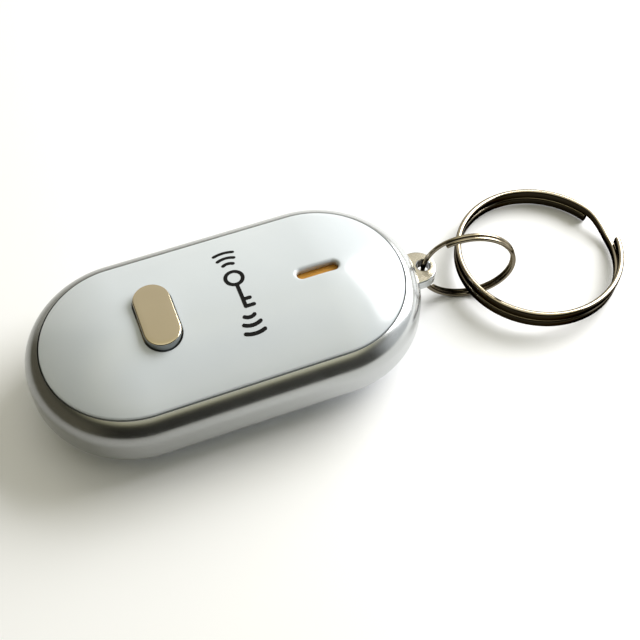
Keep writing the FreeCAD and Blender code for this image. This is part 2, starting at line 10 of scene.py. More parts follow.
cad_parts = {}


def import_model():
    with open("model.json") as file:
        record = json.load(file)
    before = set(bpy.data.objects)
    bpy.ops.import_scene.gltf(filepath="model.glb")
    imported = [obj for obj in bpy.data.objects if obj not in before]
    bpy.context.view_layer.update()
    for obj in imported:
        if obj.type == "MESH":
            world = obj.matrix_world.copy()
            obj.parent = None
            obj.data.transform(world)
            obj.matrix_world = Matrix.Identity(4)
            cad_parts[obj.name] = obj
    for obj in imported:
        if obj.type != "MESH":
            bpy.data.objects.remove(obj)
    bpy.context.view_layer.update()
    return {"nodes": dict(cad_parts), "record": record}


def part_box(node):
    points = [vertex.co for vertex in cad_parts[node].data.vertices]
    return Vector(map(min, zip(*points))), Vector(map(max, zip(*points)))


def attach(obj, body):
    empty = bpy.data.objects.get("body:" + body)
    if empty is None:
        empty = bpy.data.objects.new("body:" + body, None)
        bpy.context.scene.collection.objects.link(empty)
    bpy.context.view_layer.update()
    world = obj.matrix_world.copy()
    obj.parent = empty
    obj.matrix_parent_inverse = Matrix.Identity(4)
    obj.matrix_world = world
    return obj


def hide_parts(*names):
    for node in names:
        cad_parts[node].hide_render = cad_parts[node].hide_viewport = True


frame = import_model()

MM = 0.001


def mm_box(node):
    """A CAD node's lowest and highest corner, in millimetres."""
    low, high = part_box(node)
    return np.array(low) / MM, np.array(high) / MM


# ---- sizes in millimetres, from the frame where a node's box gives them ----------------------------
frame_low, frame_high = mm_box("mid_frame")
FRAME_R = frame_high[1]
END_X = -frame_low[0] - FRAME_R
SEAM_TOP = frame_high[2]
SEAM_BOTTOM = frame_low[2]
BODY_HEIGHT = mm_box("front_cover")[1][2]
BOARD_LOW, BOARD_HIGH = (corner[2] for corner in mm_box("circuit_board"))
LEDGE_HEIGHT = 1.0
LEDGE_LOW = BOARD_LOW - LEDGE_HEIGHT
LEDGE_R = 10.9
BORE_R = 12.45
SHOULDER_R = 3.54
COVER_R = 12.25
COVER_WALL = 1.1
COVER_EDGE_R = 0.4
SKIRT_WALL = 0.95
INFILL_R = 11.0                      # the covers' even triangles reach this far from the spine
REAR_APEX_BELOW = 0.45               # how far the rear dome would reach below the surface, uncut
NOTCH_LENGTH = 5.0
NOTCH_HEIGHT = 1.0
NOTCH_R = 11.75
BUTTON_X = sum(corner[0] for corner in mm_box("push_button")) / 2
BUTTON_TOP = mm_box("push_button")[1][2]
BUTTON_SIZE = (5.1, 10.15)
BUTTON_GAP = 0.15
BUTTON_WALL = 0.9
BUTTON_FLANGE = 0.6
BUTTON_EDGE_R = 0.22
BUTTON_EDGE_START = 0.35             # where the edge's arc starts, in radians above level
BUTTON_EDGE_FOOT = 0.3               # a loop this far below the top keeps the edge's shading narrow
BUTTON_CENTRE_R = 0.4                # the flat top's innermost loop
OPENING_EDGE_R = 0.1
SLOT_X = 13.45
SLOT_LENGTH = 6.0
SLOT_WIDTH = 1.5
SLOT_EDGE_R = 0.5
SEAT_R = 6.15
SEAT_CEILING = mm_box("piezo_tape_ring")[1][2]
LUG_Z = (6.45, 8.25)
LUG_R = 2.8
LUG_CENTRE_X = frame_high[0] - LUG_R
LUG_ROOT_X = 26.7
LUG_EDGE_R = 0.25
LUG_HOLE_X = 29.72
LUG_HOLE_R = 0.93
LUG_FLARE = 0.18

# Sizes of the meshes: degrees across which an edge is sharp, points round each end and along each
# side of the body's outline, and the covers' triangles.
SHARP_DEG = 35
RIM_POINTS = (84, 40)
INFILL_SPACING = 0.5
ROW_SPACING = 0.866                  # share of the spacing between rows of even triangles
LEAST_SPACING = 0.6                  # share of the spacing kept clear beside an outline's points


# ---- mesh helpers ----------------------------------------------------------------------------------
def make_object(name, verts_mm, faces, material):
    """A mesh object from points in millimetres, smooth but for its sharp edges."""
    mesh = bpy.data.meshes.new(name)
    mesh.from_pydata((np.asarray(verts_mm) * MM).tolist(), [], faces)
    mesh.validate()
    mesh.shade_smooth()
    mesh.set_sharp_from_angle(angle=math.radians(SHARP_DEG))
    mesh.materials.append(material)
    obj = bpy.data.objects.new(name, mesh)
    bpy.context.collection.objects.link(obj)
    return obj


def outward(obj):
    """Turn every face outward."""
    bm = bmesh.new()
    bm.from_mesh(obj.data)
    bmesh.ops.recalc_face_normals(bm, faces=bm.faces)
    bm.to_mesh(obj.data)
    bm.free()
    return obj


def finish_piece(obj, body, slot, *nodes):
    """Hand a finished piece to the frame: hide the nodes it stands for and set it on its body; slot is not
    used.
    """
    outward(obj)
    if nodes:
        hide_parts(*nodes)
    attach(obj, body)


def boolean(target, other, operation):
    """Join or cut a closed mesh and keep the result as plain mesh."""
    mod = target.modifiers.new("cut", "BOOLEAN")
    mod.operation = operation
    mod.solver = "EXACT"
    mod.object = other
    evaluated = target.evaluated_get(bpy.context.evaluated_depsgraph_get())
    mesh = bpy.data.meshes.new_from_object(evaluated)
    target.modifiers.clear()
    material = target.data.materials[0]
    target.data = mesh
    mesh.materials.clear()
    mesh.materials.append(material)
    mesh.set_sharp_from_angle(angle=math.radians(SHARP_DEG))
    bpy.data.objects.remove(other)
    return target


class Outline:
    """A rounded outline as spine points with unit normals, so that any offset keeps the same count."""

    def __init__(self, spine, normals):
        self.spine = np.array(spine, float)
        self.normals = np.array(normals, float)

    def at(self, radius, z):
        """The outline at an offset and a height; z may be a function of the plan."""
        plan = self.spine + self.normals * radius
        heights = z(plan) if callable(z) else np.full(len(plan), float(z))
        return np.column_stack([plan, heights])


def obround_outline(centre, half_spine, along_y, per_end, per_side):
    """A segment's outline: straight sides and half-round ends; half_spine is half the segment."""
    spine, normals = [], []
    for end in (1, -1):
        for i in range(per_end):
            a = math.pi * i / per_end - math.pi / 2
            spine.append((end * half_spine, 0))
            normals.append((end * math.cos(a), end * math.sin(a)))
        for i in range(per_side):
            t = i / per_side
            spine.append((end * half_spine * (1 - 2 * t), 0))
            normals.append((0, end))
    spine, normals = np.array(spine), np.array(normals)
    if along_y:
        spine = np.column_stack([-spine[:, 1], spine[:, 0]])
        normals = np.column_stack([-normals[:, 1], normals[:, 0]])
    return Outline(spine + np.array(centre), normals)


def stack(loops, closed=False, capped=False):
    """Points and faces of equal loops joined by quads; closed joins the last loop to the first."""
    count = len(loops[0])
    faces = []
    pairs = range(len(loops)) if closed else range(len(loops) - 1)
    for j in pairs:
        a, b = j * count, (j + 1) % len(loops) * count
        for i in range(count):
            k = (i + 1) % count
            faces.append((a + i, a + k, b + k, b + i))
    if capped:
        last = (len(loops) - 1) * count
        faces.append(tuple(range(count - 1, -1, -1)))
        faces.append(tuple(range(last, last + count)))
    return np.vstack(loops), faces


def spine_distance(plan):
    """Distance in plan from the body's middle line."""
    dx = np.maximum(np.abs(plan[:, 0]) - END_X, 0)
    return np.hypot(dx, plan[:, 1])


def infill(boundary, holes):
    """Points and even triangles inside a plan boundary and outside its holes."""
    points = list(map(tuple, boundary))
    edges = [(i, (i + 1) % len(boundary)) for i in range(len(boundary))]
    for hole in holes:
        start = len(points)
        points += list(map(tuple, hole))
        edges += [(start + i, start + (i + 1) % len(hole)) for i in range(len(hole))]
    fixed = np.array(points)
    low, high = fixed.min(0), fixed.max(0)
    half = INFILL_SPACING / 2
    grid = []
    for j, y in enumerate(np.arange(low[1] + half, high[1], INFILL_SPACING * ROW_SPACING)):
        xs = np.arange(low[0] + j % 2 * half, high[0], INFILL_SPACING)
        grid += [(x, y) for x in xs]
    grid = np.array(grid)
    inside = in_polygon(grid, np.array(boundary))
    for hole in holes:
        inside &= ~in_polygon(grid, np.array(hole))
    grid = grid[inside]
    apart = grid[:, None] - fixed[None]
    gaps = np.hypot(apart[..., 0], apart[..., 1]).min(1)
    grid = grid[gaps > INFILL_SPACING * LEAST_SPACING]
    every = [Vector(p) for p in points] + [Vector(p) for p in grid.tolist()]
    verts, _, tris, _, _, _ = delaunay_2d_cdt(every, edges, [], 0, 1e-7)
    plan = np.array([tuple(v) for v in verts])
    tris = np.array([t for t in tris if len(t) == 3])
    middle = plan[tris].mean(1)
    keep = in_polygon(middle, np.array(boundary))
    for hole in holes:
        keep &= ~in_polygon(middle, np.array(hole))
    return plan, tris[keep]


def in_polygon(points, polygon):
    """Which points lie inside a closed polygon."""
    inside = np.zeros(len(points), bool)
    x, y = points[:, 0], points[:, 1]
    for (x0, y0), (x1, y1) in zip(polygon, np.roll(polygon, -1, 0)):
        crosses = (y0 > y) != (y1 > y)
        with np.errstate(divide="ignore", invalid="ignore"):
            inside ^= crosses & (x < (x1 - x0) * (y - y0) / (y1 - y0) + x0)
    return inside


def weld(obj, distance_mm):
    """Join points that lie together."""
    bm = bmesh.new()
    bm.from_mesh(obj.data)
    bmesh.ops.remove_doubles(bm, verts=bm.verts, dist=distance_mm * MM)
    bm.to_mesh(obj.data)
    bm.free()
    return obj


# ---- materials -------------------------------------------------------------------------------------
class Shader:
    """A node material round one Principled shader."""

    def __init__(self, name):
        self.material = bpy.data.materials.new(name)
        self.material.use_nodes = True
        self.tree = self.material.node_tree
        self.main = self.tree.nodes["Principled BSDF"]
        self.place = self.tree.nodes.new("ShaderNodeTexCoord").outputs["Object"]

    def set(self, **values):
        """Give the shader's inputs plain values."""
        for key, value in values.items():
            socket = self.main.inputs[key.replace("_", " ")]
            socket.default_value = (*value, 1.0) if isinstance(value, tuple) else value
        return self

    def node(self, kind, **inputs):
        """A new node with its inputs linked or set by name."""
        made = self.tree.nodes.new(kind)
        for key, value in inputs.items():
            socket = made.inputs[key.replace("_", " ")]
            if isinstance(value, bpy.types.NodeSocket):
                self.tree.links.new(value, socket)
            else:
                socket.default_value = value
        return made

    def stretched(self, scale):
        """The object's coordinates scaled axis by axis."""
        made = self.node("ShaderNodeMapping", Vector=self.place)
        made.inputs["Scale"].default_value = scale
        return made.outputs["Vector"]

    def noise(self, scale, detail=3.0, vector=None):
        """Cloudy noise; its values lie mostly from 0.3 to 0.7."""
        return self.node("ShaderNodeTexNoise", Vector=vector or self.place, Scale=scale,
                         Detail=detail).outputs["Fac"]

    def spread(self, value, low, high):
        """Noise spread over a range of values."""
        made = self.node("ShaderNodeMapRange", Value=value)
        made.inputs["From Min"].default_value = 0.3
        made.inputs["From Max"].default_value = 0.7
        made.inputs["To Min"].default_value = low
        made.inputs["To Max"].default_value = high
        return made.outputs["Result"]

    def colours(self, value, first, second):
        """Noise as a mix of two tones."""
        ramp = self.node("ShaderNodeValToRGB", Fac=value)
        ramp.color_ramp.elements[0].position = 0.35
        ramp.color_ramp.elements[0].color = (*first, 1)
        ramp.color_ramp.elements[1].position = 0.65
        ramp.color_ramp.elements[1].color = (*second, 1)
        return ramp.outputs["Color"]

    def upward(self):
        """How far the surface faces up, from 1 on top to 0 on a wall."""
        normal = self.tree.nodes.new("ShaderNodeTexCoord").outputs["Normal"]
        return self.node("ShaderNodeSeparateXYZ", Vector=normal).outputs["Z"]

    def ramp(self, value, start, end):
        """0 at start rising to 1 at end."""
        made = self.node("ShaderNodeMapRange", Value=value)
        made.inputs["From Min"].default_value = start
        made.inputs["From Max"].default_value = end
        return made.outputs["Result"]

    def blend(self, share, first, second):
        """The first colour, giving way to the second, which may be plain."""
        mix = self.tree.nodes.new("ShaderNodeMix")
        mix.data_type = "RGBA"
        self.tree.links.new(share, mix.inputs[0])
        self.tree.links.new(first, mix.inputs[6])
        if isinstance(second, tuple):
            mix.inputs[7].default_value = (*second, 1.0)
        else:
            self.tree.links.new(second, mix.inputs[7])
        return mix.outputs[2]

    def both(self, first, second):
        """Full only where both values are."""
        made = self.tree.nodes.new("ShaderNodeMath")
        made.operation = "MULTIPLY"
        self.tree.links.new(first, made.inputs[0])
        self.tree.links.new(second, made.inputs[1])
        return made.outputs[0]

    def from_axis(self, x_mm):
        """Distance from an upright axis on the body's middle line."""
        flat = self.node("ShaderNodeVectorMath", Vector=self.place)
        flat.operation = "MULTIPLY"
        flat.inputs[1].default_value = (1.0, 1.0, 0.0)
        apart = self.node("ShaderNodeVectorMath", Vector=flat.outputs["Vector"])
        apart.operation = "DISTANCE"
        apart.inputs[1].default_value = (x_mm * MM, 0.0, 0.0)
        return apart.outputs["Value"]

    def drive(self, socket, value):
        """Link a value to one of the shader's inputs."""
        self.tree.links.new(value, self.main.inputs[socket])
        return self

    def bump(self, height, strength, distance_mm):
        """A fine relief in the surface."""
        made = self.node("ShaderNodeBump", Height=height, Strength=strength)
        made.inputs["Distance"].default_value = distance_mm * MM
        self.tree.links.new(made.outputs["Normal"], self.main.inputs["Normal"])
        return self


def white_gloss():
    """Glossy injection-moulded cover: faint mould waviness, hairline wear in the gloss."""
    s = Shader("cover white gloss")
    s.set(IOR=1.5, Coat_Weight=0.25, Coat_Roughness=0.09)
    s.drive("Base Color", s.colours(s.noise(60), (0.575, 0.62, 0.66), (0.605, 0.65, 0.685)))
    hairlines = s.noise(900, 2.0, s.stretched((1.0, 0.06, 1.0)))
    s.drive("Roughness", s.spread(hairlines, 0.17, 0.23))
    return s.bump(s.noise(140, 1.0), 0.05, 0.2).material


# Where along the body, in millimetres, the silver goes from painted shade at the left end to painted
# light at the right, where the painted warm highlight on the lug's top starts, and how far from the hole's
# wall its painted shade starts and is full.
PAINTED_SHADE_TO_LIGHT_X = (-27.0, 29.0)
LUG_PAINTED_HIGHLIGHT_X = (27.0, 27.4)
HOLE_PAINTED_SHADE = (0.12, 0.02)


def silver_paint():
    """Sprayed silver paint with fine flakes, and painted light and shade: darker at the left end, lighter
    at the right, a painted warm highlight on the lug's top face and painted shade in the lug's hole.
    """
    s = Shader("frame silver paint, painted light and shade")
    s.set(Metallic=0.92, Coat_Weight=0.2, Coat_Roughness=0.12)
    flakes = s.node("ShaderNodeTexVoronoi", Vector=s.place, Scale=7000.0).outputs["Distance"]
    along = s.node("ShaderNodeSeparateXYZ", Vector=s.place).outputs["X"]
    # painted shade and painted light: the silver is darker toward the left end and lighter toward the right
    painted_shade_tone = s.colours(flakes, (0.24, 0.243, 0.235), (0.28, 0.283, 0.275))
    bright = s.colours(flakes, (0.52, 0.54, 0.55), (0.56, 0.58, 0.59))
    paint = s.blend(s.ramp(along, *(x * MM for x in PAINTED_SHADE_TO_LIGHT_X)), painted_shade_tone, bright)
    # painted highlight: a warm, lighter tone on the lug's upward faces
    on_lug = s.ramp(along, *(x * MM for x in LUG_PAINTED_HIGHLIGHT_X))
    on_top = s.ramp(s.upward(), 0.95, 0.99)
    with_painted_lug_highlight = s.blend(s.both(on_lug, on_top), paint, (0.58, 0.54, 0.44))
    # painted shade: a near-black tone on the hole's wall and close round it
    hole_shade_share = s.ramp(s.from_axis(LUG_HOLE_X), *((LUG_HOLE_R + gap) * MM for gap in HOLE_PAINTED_SHADE))
    s.drive("Base Color", s.blend(hole_shade_share, with_painted_lug_highlight, (0.05, 0.046, 0.04)))
    s.drive("Roughness", s.spread(s.noise(300), 0.20, 0.25))
    return s.bump(s.noise(1200, 2.0), 0.3, 0.004).material


def champagne_metal():
    """Plated button: champagne tint on the top face, and a painted reflection, a plain grey tone, down the
    wall.
    """
    s = Shader("button champagne, painted wall reflection")
    s.set(Metallic=1.0)
    tint = s.colours(s.noise(120), (0.60, 0.515, 0.365), (0.63, 0.545, 0.39))
    # painted reflection: the wall takes a plain grey tone in place of the champagne
    painted_reflection_on_wall = s.ramp(s.upward(), 0.8, 0.35)
    s.drive("Base Color", s.blend(painted_reflection_on_wall, tint, (0.27, 0.285, 0.285)))
    s.drive("Roughness", s.spread(s.noise(400), 0.14, 0.18))
    return s.bump(s.noise(900, 2.0), 0.2, 0.003).material


def nickel_plate(name, wall):
    """Nickel plating with painted light: a painted highlight on the faces that look up, and wall, a painted
    reflection tone, on the wire's sides.
    """
    s = Shader(name)
    s.set(Metallic=1.0, Specular_Tint=(0.25, 0.22, 0.18))
    plated = s.colours(s.noise(150), (0.40, 0.345, 0.255), (0.50, 0.44, 0.34))
    # painted highlight and painted reflection: tops take the brighter tone, the wire's sides the wall tone
    painted_reflection_on_wall = s.ramp(s.upward(), 0.93, 0.50)
    s.drive("Base Color", s.blend(painted_reflection_on_wall, plated, wall))
    s.drive("Roughness", s.spread(s.noise(1800, 4.0), 0.09, 0.18))
    return s.bump(s.noise(900), 0.3, 0.004).material


def black_ink():
    """Pad-printed black ink."""
    s = Shader("print ink")
    s.drive("Base Color", s.colours(s.noise(1500), (0.001, 0.001, 0.001), (0.003, 0.003, 0.003)))
    s.set(Specular_IOR_Level=0.15)
    s.drive("Roughness", s.spread(s.noise(2500), 0.50, 0.65))
    return s.bump(s.noise(4000), 0.1, 0.01).material


def plain_finish(name, first, second, metallic, rough, scale=400.0):
    """Finish of a hidden piece: two close tones, a roughness range and a fine grain."""
    s = Shader(name)
    s.set(Metallic=metallic)
    s.drive("Base Color", s.colours(s.noise(scale), first, second))
    s.drive("Roughness", s.spread(s.noise(scale * 3), *rough))
    return s.bump(s.noise(scale * 5), 0.08, 0.02).material


def floor_material():
    """Plain pale sheet with hardly visible clouds of tone."""
    s = Shader("studio floor")
    s.set(Roughness=0.65)
    s.drive("Base Color", s.colours(s.noise(3), (0.94, 0.95, 0.975), (0.955, 0.965, 0.985)))
    return s.material


WHITE = white_gloss()
SILVER = silver_paint()
CHAMPAGNE = champagne_metal()
# One plating for both rings; they differ only in the painted reflection on the wire's sides: pale on the
# small ring, near-black on the large.
SMALL_NICKEL = nickel_plate("small ring nickel, pale painted reflection", (0.20, 0.175, 0.13))
LARGE_NICKEL = nickel_plate("large ring nickel, dark painted reflection", (0.020, 0.016, 0.010))
INK = black_ink()


# ---- covers ----------------------------------------------------------------------------------------
class Dome:
    """The cover's outside and inside as circles in the (radius, height) plane."""

    def __init__(self, apex, flat_top):
        reach = COVER_R - COVER_EDGE_R
        rise = apex - SEAM_TOP - COVER_EDGE_R
        self.radius = (reach ** 2 + rise ** 2) / (2 * rise) + COVER_EDGE_R
        self.centre = apex - self.radius
        self.flat = flat_top
        self.meet = math.atan2(SEAM_TOP - self.centre, reach)

    def outside(self, plan):
        """Height of the outside over each point of the plan."""
        r = spine_distance(plan)
        return np.minimum(self.centre + np.sqrt(self.radius ** 2 - r ** 2), self.flat)

    def inside(self, plan):
        """Height of the inside over each point of the plan."""
        r = spine_distance(plan)
        z = self.centre + np.sqrt((self.radius - COVER_WALL) ** 2 - r ** 2)
        return np.minimum(z, self.flat - COVER_WALL)


def cover_mesh(dome, holes, skirt_end, seat=None):
    """Closed cover shell: domed infill with holes, rounded rim, skirt, and the same inside.

    Each hole is (outline, radius, edge, ceiling): edge rounds its outer rim, and ceiling is the inside
    surface it opens through. A seat is (outline, radius, ceiling), a flat recess in the inside.
    """
    rim = obround_outline((0, 0), END_X, False, *RIM_POINTS)
    loops = [rim.at(INFILL_R, dome.outside)]
    steps = 8
    for i in range(steps + 1):
        a = dome.meet * (1 - i / steps)
        r = COVER_R - COVER_EDGE_R + COVER_EDGE_R * math.cos(a)
        loops.append(rim.at(r, SEAM_TOP + COVER_EDGE_R * math.sin(a)))
    inner = COVER_R - SKIRT_WALL
    loops += [rim.at(COVER_R, skirt_end), rim.at(inner, skirt_end), rim.at(inner, dome.inside),
              rim.at(INFILL_R, dome.inside)]
    parts = [stack(loops)]
    outer_borders, inner_borders, seat_borders = [], [], []
    for outline, radius, edge, ceiling in holes:
        hole = []
        turn = 7
        for i in range(turn + 1):
            a = math.pi / 2 * i / turn
            plan = outline.at(radius + edge * (1 - math.sin(a)), 0)[:, :2]
            hole.append(np.column_stack([plan, dome.outside(plan) - edge * (1 - math.cos(a))]))
        hole.append(outline.at(radius, ceiling))
        parts.append(stack(hole))
        outer_borders.append(outline.at(radius + edge, 0)[:, :2])
        borders = inner_borders if ceiling == dome.inside else seat_borders
        borders.append(outline.at(radius, 0)[:, :2])
    edge_plan = rim.at(INFILL_R, 0)[:, :2]
    surfaces = [(dome.outside, edge_plan, outer_borders)]
    if seat:
        outline, radius, ceiling = seat
        parts.append(stack([outline.at(radius, dome.inside), outline.at(radius, ceiling)]))
        inner_borders.append(outline.at(radius, 0)[:, :2])
        surfaces.append((lambda plan: np.full(len(plan), ceiling), inner_borders[-1], seat_borders))
    surfaces.append((dome.inside, edge_plan, inner_borders))
    for surface, border, inner_holes in surfaces:
        plan, tris = infill(border, inner_holes)
        parts.append((np.column_stack([plan, surface(plan)]), [tuple(t) for t in tris.tolist()]))
    verts, faces, start = [], [], 0
    for points, polygons in parts:
        verts.append(points)
        faces += [tuple(start + k for k in face) for face in polygons]
        start += len(points)
    return np.vstack(verts), faces


FRONT_DOME = Dome(BODY_HEIGHT, BODY_HEIGHT)
REAR_DOME = Dome(BODY_HEIGHT + REAR_APEX_BELOW, BODY_HEIGHT)


def front_cover():
    """The front dome, with the button's opening, the sound slot and the sounder's seat under it."""
    button = obround_outline((BUTTON_X, 0), (BUTTON_SIZE[1] - BUTTON_SIZE[0]) / 2, True, 28, 14)
    slot = obround_outline((SLOT_X, 0), (SLOT_LENGTH - SLOT_WIDTH) / 2, False, 14, 20)
    seat = obround_outline((END_X, 0), 0.0, False, 48, 0)
    holes = [(button, BUTTON_SIZE[0] / 2 + BUTTON_GAP, OPENING_EDGE_R, FRONT_DOME.inside),
             (slot, SLOT_WIDTH / 2, SLOT_EDGE_R, SEAT_CEILING)]
    verts, faces = cover_mesh(FRONT_DOME, holes, BOARD_HIGH, (seat, SEAT_R, SEAT_CEILING))
    obj = weld(make_object("front_cover_shell", verts, faces, WHITE), distance_mm=0.002)
    finish_piece(obj, "tag", "cover_white", "front_cover")


def rear_cover():
    """The rear dome, with a pry notch in its edge at the end away from the lug."""
    verts, faces = cover_mesh(REAR_DOME, [], BODY_HEIGHT - LEDGE_LOW)
    verts[:, 2] = BODY_HEIGHT - verts[:, 2]
    obj = weld(make_object("rear_cover_shell", verts, faces, WHITE), distance_mm=0.002)
    outer_x, inner_x, half = -END_X - BORE_R, -END_X - NOTCH_R, NOTCH_LENGTH / 2
    outline = [(outer_x, -half), (inner_x, -half), (inner_x, half), (outer_x, half)]
    loops = [[(x, y, z) for x, y in outline] for z in (SEAM_BOTTOM - NOTCH_HEIGHT, SEAM_BOTTOM)]
    notch_verts, notch_faces = stack(np.array(loops), capped=True)
    notch = outward(make_object("notch", notch_verts, notch_faces, WHITE))
    obj = boolean(obj, notch, "DIFFERENCE")
    finish_piece(obj, "tag", "cover_white", "rear_cover")


# ---- frame with its lug ----------------------------------------------------------------------------
def arc_points(centre, radius, start, end, steps):
    """Points along an arc, from one angle to the other."""
    angles = np.linspace(start, end, steps + 1)
    return [(centre[0] + radius * math.cos(a), centre[1] + radius * math.sin(a)) for a in angles]


def lug_loop(inset, z):
    """The lug's outline pulled in by inset; its square root end is inside the frame's wall."""
    reach = LUG_R - inset
    plan = arc_points((LUG_CENTRE_X, 0), reach, -math.pi / 2, math.pi / 2, 40)
    plan += [(LUG_ROOT_X, reach), (LUG_ROOT_X, -reach)]
    return np.array([(x, y, z) for x, y in plan])


def round_rim(loop, low, high, edge, steps=5):
    """Loops of an upright prism with both rims rounded; loop(inset, z) gives one outline."""
    loops = []
    for i in range(steps + 1):
        a = math.pi / 2 * i / steps
        loops.append(loop(edge * (1 - math.sin(a)), low + edge * (1 - math.cos(a))))
    for i in range(steps + 1):
        a = math.pi / 2 * i / steps
        loops.append(loop(edge * (1 - math.cos(a)), high - edge * (1 - math.sin(a))))
    return loops


def turned(name, centre, outline, material, count=48):
    """A solid turned about an upright axis from (radius, height) points, closed by flat caps."""
    angles = np.linspace(0, 2 * math.pi, count, endpoint=False)
    loops = [np.column_stack([centre[0] + r * np.cos(angles), centre[1] + r * np.sin(angles),
                              np.full(count, z)]) for r, z in outline]
    verts, faces = stack(loops, capped=True)
    return outward(make_object(name, verts, faces, material))


def mid_frame():
    """The band with rounded shoulders and an inner ledge, joined to the lug, with the lug's hole."""
    rim = obround_outline((0, 0), END_X, False, *RIM_POINTS)
    centre_r = FRAME_R - SHOULDER_R
    start = math.acos((BORE_R - centre_r) / SHOULDER_R)
    top_z = SEAM_TOP - SHOULDER_R * math.sin(start)
    low_z = BODY_HEIGHT - top_z
    section = arc_points((centre_r, top_z), SHOULDER_R, start, 0, 16)
    section += arc_points((centre_r, low_z), SHOULDER_R, 0, -start, 16)
    section += [(BORE_R, LEDGE_LOW), (LEDGE_R, LEDGE_LOW), (LEDGE_R, BOARD_LOW), (BORE_R, BOARD_LOW)]
    verts, faces = stack([rim.at(r, z) for r, z in section], closed=True)
    body = outward(make_object("mid_frame_band", verts, faces, SILVER))
    verts, faces = stack(round_rim(lug_loop, *LUG_Z, LUG_EDGE_R), capped=True)
    lug = outward(make_object("lug", verts, faces, SILVER))
    body = boolean(body, lug, "UNION")
    low, high = LUG_Z
    spool = [(LUG_HOLE_R + 2 * LUG_FLARE, low - LUG_FLARE), (LUG_HOLE_R, low + LUG_FLARE),
             (LUG_HOLE_R, high - LUG_FLARE), (LUG_HOLE_R + 2 * LUG_FLARE, high + LUG_FLARE)]
    body = boolean(body, turned("hole", (LUG_HOLE_X, 0), spool, SILVER), "DIFFERENCE")
    finish_piece(body, "tag", "frame_silver", "mid_frame")


# ---- button ----------------------------------------------------------------------------------------
def push_button():
    """A hollow cap with a flange at its foot and a soft edge at its top."""
    outline = obround_outline((BUTTON_X, 0), (BUTTON_SIZE[1] - BUTTON_SIZE[0]) / 2, True, 32, 12)
    radius = BUTTON_SIZE[0] / 2
    inner_r, flange_r = radius - BUTTON_WALL, radius + BUTTON_FLANGE
    low = mm_box("push_button")[0][2]
    flange_top = low + BUTTON_FLANGE
    rows = [(inner_r, BUTTON_TOP - BUTTON_WALL), (inner_r, low), (flange_r, low), (flange_r, flange_top),
            (radius, flange_top), (radius, BUTTON_TOP - BUTTON_EDGE_FOOT)]
    edge_centre = (radius - BUTTON_EDGE_R, BUTTON_TOP - BUTTON_EDGE_R)
    rows += arc_points(edge_centre, BUTTON_EDGE_R, BUTTON_EDGE_START, math.pi / 2, 6)
    rows += [(inner_r, BUTTON_TOP), (BUTTON_CENTRE_R, BUTTON_TOP)]
    verts, faces = stack([outline.at(r, z) for r, z in rows], capped=True)
    obj = weld(make_object("button_cap", verts, faces, CHAMPAGNE), distance_mm=0.0005)
    finish_piece(obj, "button", "button_champagne", "push_button")


# ---- printed symbol: a key between two sets of sound arcs, in one line weight ----------------------
PRINT_X = 2.34
PRINT_Y = 0.7
STROKE = 0.54
PRINT_RISE = 0.03                    # the print reaches this far above the cover, and as far into it
BOW_R = 1.18
BOW_Y = PRINT_Y + 1.9
TIP_Y = PRINT_Y - 3.1
TEETH = ((0.0, 1.15), (1.15, 0.95))  # height above the tip, and length
ARC_CENTRE = 3.6                     # of the sound arcs, from the symbol's middle
ARCS = ((1.2, 36), (2.4, 29), (3.6, 22))  # radius, and half angle in degrees


def capsule(points, width):
    """Outline of a round-ended stroke along a path."""
    path = np.array(points, float)
    step = np.gradient(path, axis=0)
    step /= np.linalg.norm(step, axis=1)[:, None]
    side = np.column_stack([-step[:, 1], step[:, 0]]) * width / 2
    outline, turn = [], 7
    ends = ((path + side, path[-1], step[-1]), ((path - side)[::-1], path[0], -step[0]))
    for edge, end, direction in ends:
        outline += list(edge)
        base = math.atan2(direction[1], direction[0])
        for i in range(1, turn):
            a = base + math.pi / 2 - math.pi * i / turn
            outline.append(end + width / 2 * np.array([math.cos(a), math.sin(a)]))
    return [tuple(p) for p in outline]


def line(start, end, count):
    """Points along a straight stroke."""
    start, end = np.array(start), np.array(end)
    return [tuple(start + (end - start) * i / count) for i in range(count + 1)]


def bend(centre, radius, start, end, count):
    """Points along a bent stroke, with its angles in degrees."""
    return arc_points(centre, radius, math.radians(start), math.radians(end), count)


def symbol_strokes():
    """The symbol as paths for a pen: two halves of the bow, shaft and teeth, then the sound arcs."""
    strokes = [bend((PRINT_X, BOW_Y), BOW_R, start, start + 180, 28) for start in (-90, 90)]
    strokes.append(line((PRINT_X, BOW_Y - BOW_R), (PRINT_X, TIP_Y), 12))
    for height, length in TEETH:
        strokes.append(line((PRINT_X, TIP_Y + height), (PRINT_X + length, TIP_Y + height), 5))
    for side in (1, -1):
        middle = (PRINT_X, PRINT_Y + side * ARC_CENTRE)
        for radius, half_angle in ARCS:
            strokes.append(bend(middle, radius, side * 90 - half_angle, side * 90 + half_angle, 16))
    return strokes


def printed_symbol():
    """The strokes' outlines joined into one thin closed sheet that follows the dome."""
    rings = [capsule(stroke, STROKE) for stroke in symbol_strokes()]
    points, edges = [], []
    for ring in rings:
        start = len(points)
        edges += [(start + i, start + (i + 1) % len(ring)) for i in range(len(ring))]
        points += ring
    verts, _, faces, _, _, _ = delaunay_2d_cdt([Vector(p) for p in points], edges, [], 0, 1e-6)
    plan = np.array([tuple(v) for v in verts])
    tris = np.array(faces)
    middle = plan[tris].mean(1)
    inked = np.any([in_polygon(middle, np.array(ring)) for ring in rings], axis=0)
    tops = [tuple(t) for t in tris[inked].tolist()]
    count = len(plan)
    surface = FRONT_DOME.outside(plan)
    verts = np.vstack([np.column_stack([plan, surface + PRINT_RISE]),
                       np.column_stack([plan, surface - PRINT_RISE])])
    edges = {(a, b) for face in tops for a, b in zip(face, face[1:] + face[:1])}
    walls = [(a, b, b + count, a + count) for a, b in sorted(edges) if (b, a) not in edges]
    under = [tuple(k + count for k in face[::-1]) for face in tops]
    obj = make_object("printed_symbol", verts, tops + under + walls, INK)
    finish_piece(obj, "tag", "cover_white")


